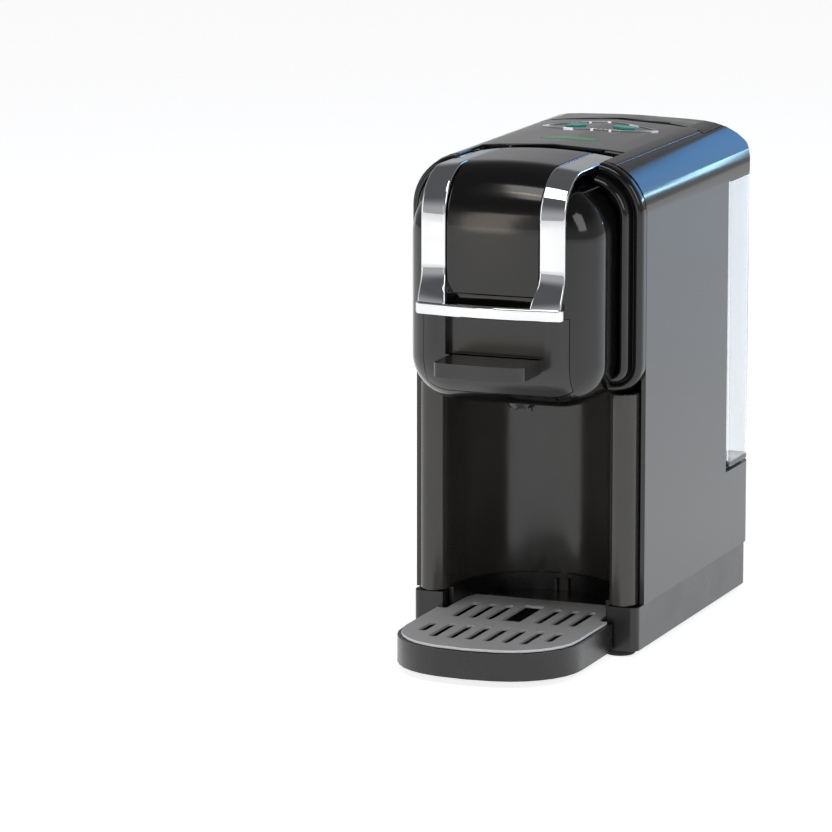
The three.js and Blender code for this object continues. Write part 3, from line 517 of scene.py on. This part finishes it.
def bend_over(xs, front, bottom, bend=26.0):
    """The shell of one strip of the lever, from its lower edge round to the hinge."""
    bm = bmesh.new()
    verts = [bm.verts.new((x, front, bottom)) for x in xs]
    chain = [bm.edges.new(pair) for pair in zip(verts, verts[1:])]
    turn_z = hinge_z + nose - bend
    for z in [bottom + (turn_z - bottom) * k / 12 for k in range(1, 13)]:
        chain = extrude_chain(bm, chain, (0, 0, z - chain[0].verts[0].co.z))
    chain = spin_chain(bm, chain, (0, front + bend, turn_z), math.pi / 2, 16)
    for _ in range(4):
        chain = extrude_chain(bm, chain, (0, (hinge_y - front - bend) / 4, 0))
    spin_chain(bm, chain, (0, hinge_y, hinge_z), math.radians(150), 14)
    for v in bm.verts:
        high = min(max((v.co.z - 226) / 20, 0), 1)
        drop = 2.9 * (v.co.x / 37.5) ** 2
        v.co.z -= drop * high
        v.co.y += 0.35 * drop * (1 - high) * (v.co.y < 0)
    return bm


# %% [markdown]
# The two arms are plated strips of that path. Near their lower end they flare forwards
# and a little inwards, in a soft step, to meet the grip lip, which is a flat bowed bar.

# %% Lever
lever_half, arm_width, lever_front = 37.5, 12.9, -54.5
flare_top, flare_height, flare_reach = 198, 16, 5.5
lip_half, lip_low, lip_high = 38.4, 177.2, 183.2
lever = None
for side in (-1, 1):
    xs = [side * (lever_half - arm_width + arm_width * k / 6) for k in range(7)]
    arm = bend_over(xs, lever_front, lip_low + 1.8)
    for v in arm.verts:
        if v.co.y < -50 and v.co.z < flare_top:
            low = min((flare_top - v.co.z) / flare_height, 1)
            ease = low * low * (3 - 2 * low)
            bow = 5.8 * (1 - abs(v.co.x) / 38.5)
            v.co.y -= (flare_reach + bow) * ease
            v.co.x -= side * 2.5 * ease * (lever_half - abs(v.co.x)) / arm_width
    if lever is None:
        lever = arm
    else:
        pour_in(lever, arm)
finish_piece(lever, "lever_arms", "lever_chrome", ["lever_band"], wall_mm=3.5, edge_mm=0.9,
             segments=3, facing=(0, -1, 0))

lip_front = lever_front - flare_reach
lip_back = lip_front + 3.5
lip, face = rounded_face([(-lip_half, lip_back, 0), (-lip_half, lip_front, 2.5), (0, lip_front - 6, 20),
                          (lip_half, lip_front, 2.5), (lip_half, lip_back, 0),
                          (27, lip_back, 2), (0, lip_back - 5.5, 16), (-27, lip_back, 2)], "XY", lip_low, 10)
thicken(lip, [face], lip_high - lip_low)
finish_piece(lip, "lever_lip", "lever_chrome", ["lever_band"], edge_mm=1.1, segments=4)

# %% [markdown]
# The hood is the same path again between the arms, set half a millimetre back from
# them and bent a little wider, so that its gloss turns more slowly than the chrome.

# %% Hood
hood_half, hood_low = 24.1, 187.2
hood = bend_over([hood_half * k / 8 for k in range(-8, 9)], lever_front + 0.5, hood_low, 31)
finish_piece(hood, "hood_shell", "gloss_black", ["lever_hood"], wall_mm=3.0, edge_mm=0.7, segments=3,
             facing=(0, -1, 0))

# %% [markdown]
# The column wraps the cup bay: a half round behind the cup, opening forwards between
# two rounded noses. Its plan is spun and extruded as a chain of edges, lifted to full
# height, and thickened.

# %% Column and cup bay
bay_radius, bay_centre, nose_radius, nose_centre = 43.5, 8, 7, -1
column_low, column_height = 26.1, 107.4
bay = bmesh.new()
start = bay.verts.new((bay_radius, bay_centre, column_low))
bmesh.ops.spin(bay, geom=[start], cent=(0, bay_centre, 0), axis=(0, 0, 1), angle=math.pi, steps=40,
               use_merge=False)
for side in (-1, 1):
    end = Vector((side * bay_radius, bay_centre, column_low))
    root = next(v for v in bay.verts if (v.co - end).length < 1e-3)
    tip = bmesh.ops.extrude_vert_indiv(bay, verts=[root])["verts"][0]
    tip.co = Vector((side * bay_radius, nose_centre, column_low))
    turn = bmesh.ops.spin(bay, geom=[tip], cent=(side * (bay_radius + nose_radius), nose_centre, 0),
                          axis=(0, 0, side), angle=math.pi, steps=16, use_merge=False)["geom_last"]
    last = next(g for g in turn if isinstance(g, bmesh.types.BMVert))
    last = bmesh.ops.extrude_vert_indiv(bay, verts=[last])["verts"][0]
    last.co = Vector((side * (bay_radius + 2 * nose_radius), 40, column_low))
edges = bay.edges[:]
made = bmesh.ops.extrude_edge_only(bay, edges=edges)["geom"]
upper = [g for g in made if isinstance(g, bmesh.types.BMVert)]
bmesh.ops.translate(bay, vec=(0, 0, column_height), verts=upper)
column = finish_piece(bay, "cup_bay_shell", "gloss_black", ["cup_bay"], wall_mm=2.4, edge_mm=0.5,
                      facing=(0, -1, 0))
# The cup bay takes the lighter copy of the gloss black: its colour holds painted reflection.
column.data.materials[0] = bay_painted_light_abs

# %% [markdown]
# Floor, light and camera. The machine stands on a pale sweep under large soft lights,
# because black gloss shows nothing but what it reflects: each long light becomes one
# long highlight down a rounded edge.

# %% Floor
floor_mesh = bpy.data.meshes.new("floor")
floor_bm = bmesh.new()
bmesh.ops.create_grid(floor_bm, x_segments=1, y_segments=1, size=6)
floor_bm.to_mesh(floor_mesh)
floor_bm.free()
floor = bpy.data.objects.new("floor", floor_mesh)
bpy.context.scene.collection.objects.link(floor)
floor.location.z = -0.0004
pale_floor = moulded("painted_floor", "#efefef", "#f3f3f3", 0.7, 0.02, 30, 0.0, 400,
                     Emission_Color=linear("#ffffff"), Emission_Strength=0.80)
floor.data.materials.append(pale_floor)

# %% [markdown]
# The reflections set the lights. The shoulder mirrors the low air behind the machine, so
# a blue panel and a paler strip stand there. Two soft boxes model the sides, narrow
# strips in front draw the upright lines, and one large box overhead lights the grid.

# %% Lights


def area_light(name, place, aim, size, radiance, tint="#ffffff"):
    """A flat soft light that looks as bright as radiance, whatever its size."""
    data = bpy.data.lights.new(name, "AREA")
    data.shape = "RECTANGLE"
    data.size, data.size_y = size
    data.energy = radiance * math.pi * size[0] * size[1]
    data.color = linear(tint)[:3]
    lamp = bpy.data.objects.new(name, data)
    bpy.context.scene.collection.objects.link(lamp)
    lamp.location = place
    lamp.rotation_euler = (Vector(aim) - Vector(place)).to_track_quat("-Z", "Y").to_euler()
    return lamp


def towards(azimuth, elevation, distance):
    """A place seen from the machine at that azimuth from +Y towards +X, and that elevation."""
    a, e = math.radians(azimuth), math.radians(elevation)
    return Vector((math.sin(a) * math.cos(e), math.cos(a) * math.cos(e), math.sin(e))) * distance


shoulder = Vector((0.055, 0.05, 0.24))
area_light("blue_panel", shoulder + towards(14, 15, 1.8), shoulder, (0.75, 0.42), 2.8, "#3f93d8")
area_light("blue_edge", shoulder + towards(22, 6.0, 1.8), shoulder, (0.5, 0.06), 12.0, "#a4dcfa")
area_light("left_softbox", towards(-115, 22, 1.7), (0, -0.05, 0.15), (0.5, 1.1), 1.6)
area_light("right_softbox", towards(108, 34, 1.8), (0, 0, 0.15), (0.8, 0.9), 2.6)
area_light("front_left_strip", towards(-160, 14, 1.7), (0, 0, 0.1), (0.16, 0.8), 2.6, "#fff1dd")
area_light("front_right_strip", towards(168, 12, 1.7), (0, 0, 0.1), (0.10, 0.8), 2.2)
area_light("front_top_softbox", towards(178, 68, 1.5), (0, -0.1, 0.02), (0.9, 0.6), 3.4)
area_light("warm_spot", towards(-150, 62, 1.5), (0, -0.08, 0.24), (0.10, 0.04), 9.0, "#ffd9a0")

# %% [markdown]
# The room itself is a plain gradient, pale near the horizon and dark overhead. The dark
# zenith keeps the bends of the hood and roof black.

# %% Room
horizon, zenith = (0.42, 0.42, 0.43, 1), (0.10, 0.10, 0.105, 1)
world = bpy.data.worlds.new("studio")
bpy.context.scene.world = world
world.use_nodes = True
sky = world.node_tree
heading = add_node(sky, "ShaderNodeTexCoord")
parts = add_node(sky, "ShaderNodeSeparateXYZ", {"Vector": heading.outputs["Generated"]})
climb = add_node(sky, "ShaderNodeMapRange",
                 {"Value": parts.outputs["Z"], "From Min": 0.12, "From Max": 0.6},
                 interpolation_type="SMOOTHSTEP")
fade = add_node(sky, "ShaderNodeMix", {0: climb.outputs["Result"], 6: horizon, 7: zenith}, data_type="RGBA")
sky.links.new(fade.outputs[2], sky.nodes["Background"].inputs["Color"])
sky.nodes["Background"].inputs["Strength"].default_value = 1.0
bpy.context.scene.view_settings.view_transform = "Standard"
print("room:", world.name)

# %% [markdown]
# A long lens from far off keeps the upright edges upright. It looks at the machine from
# front right and a little above.

# %% Camera
camera_data = bpy.data.cameras.new("camera")
camera_data.sensor_width = 36
camera_data.lens = 233.65
camera = bpy.data.objects.new("camera", camera_data)
bpy.context.scene.collection.objects.link(camera)
camera.location = at(923.0, -2485.9, 628.4)
camera.rotation_euler = (math.radians(79.1), 0, math.radians(21.6))
bpy.context.scene.camera = camera
print("camera at", [round(c, 3) for c in camera.location])
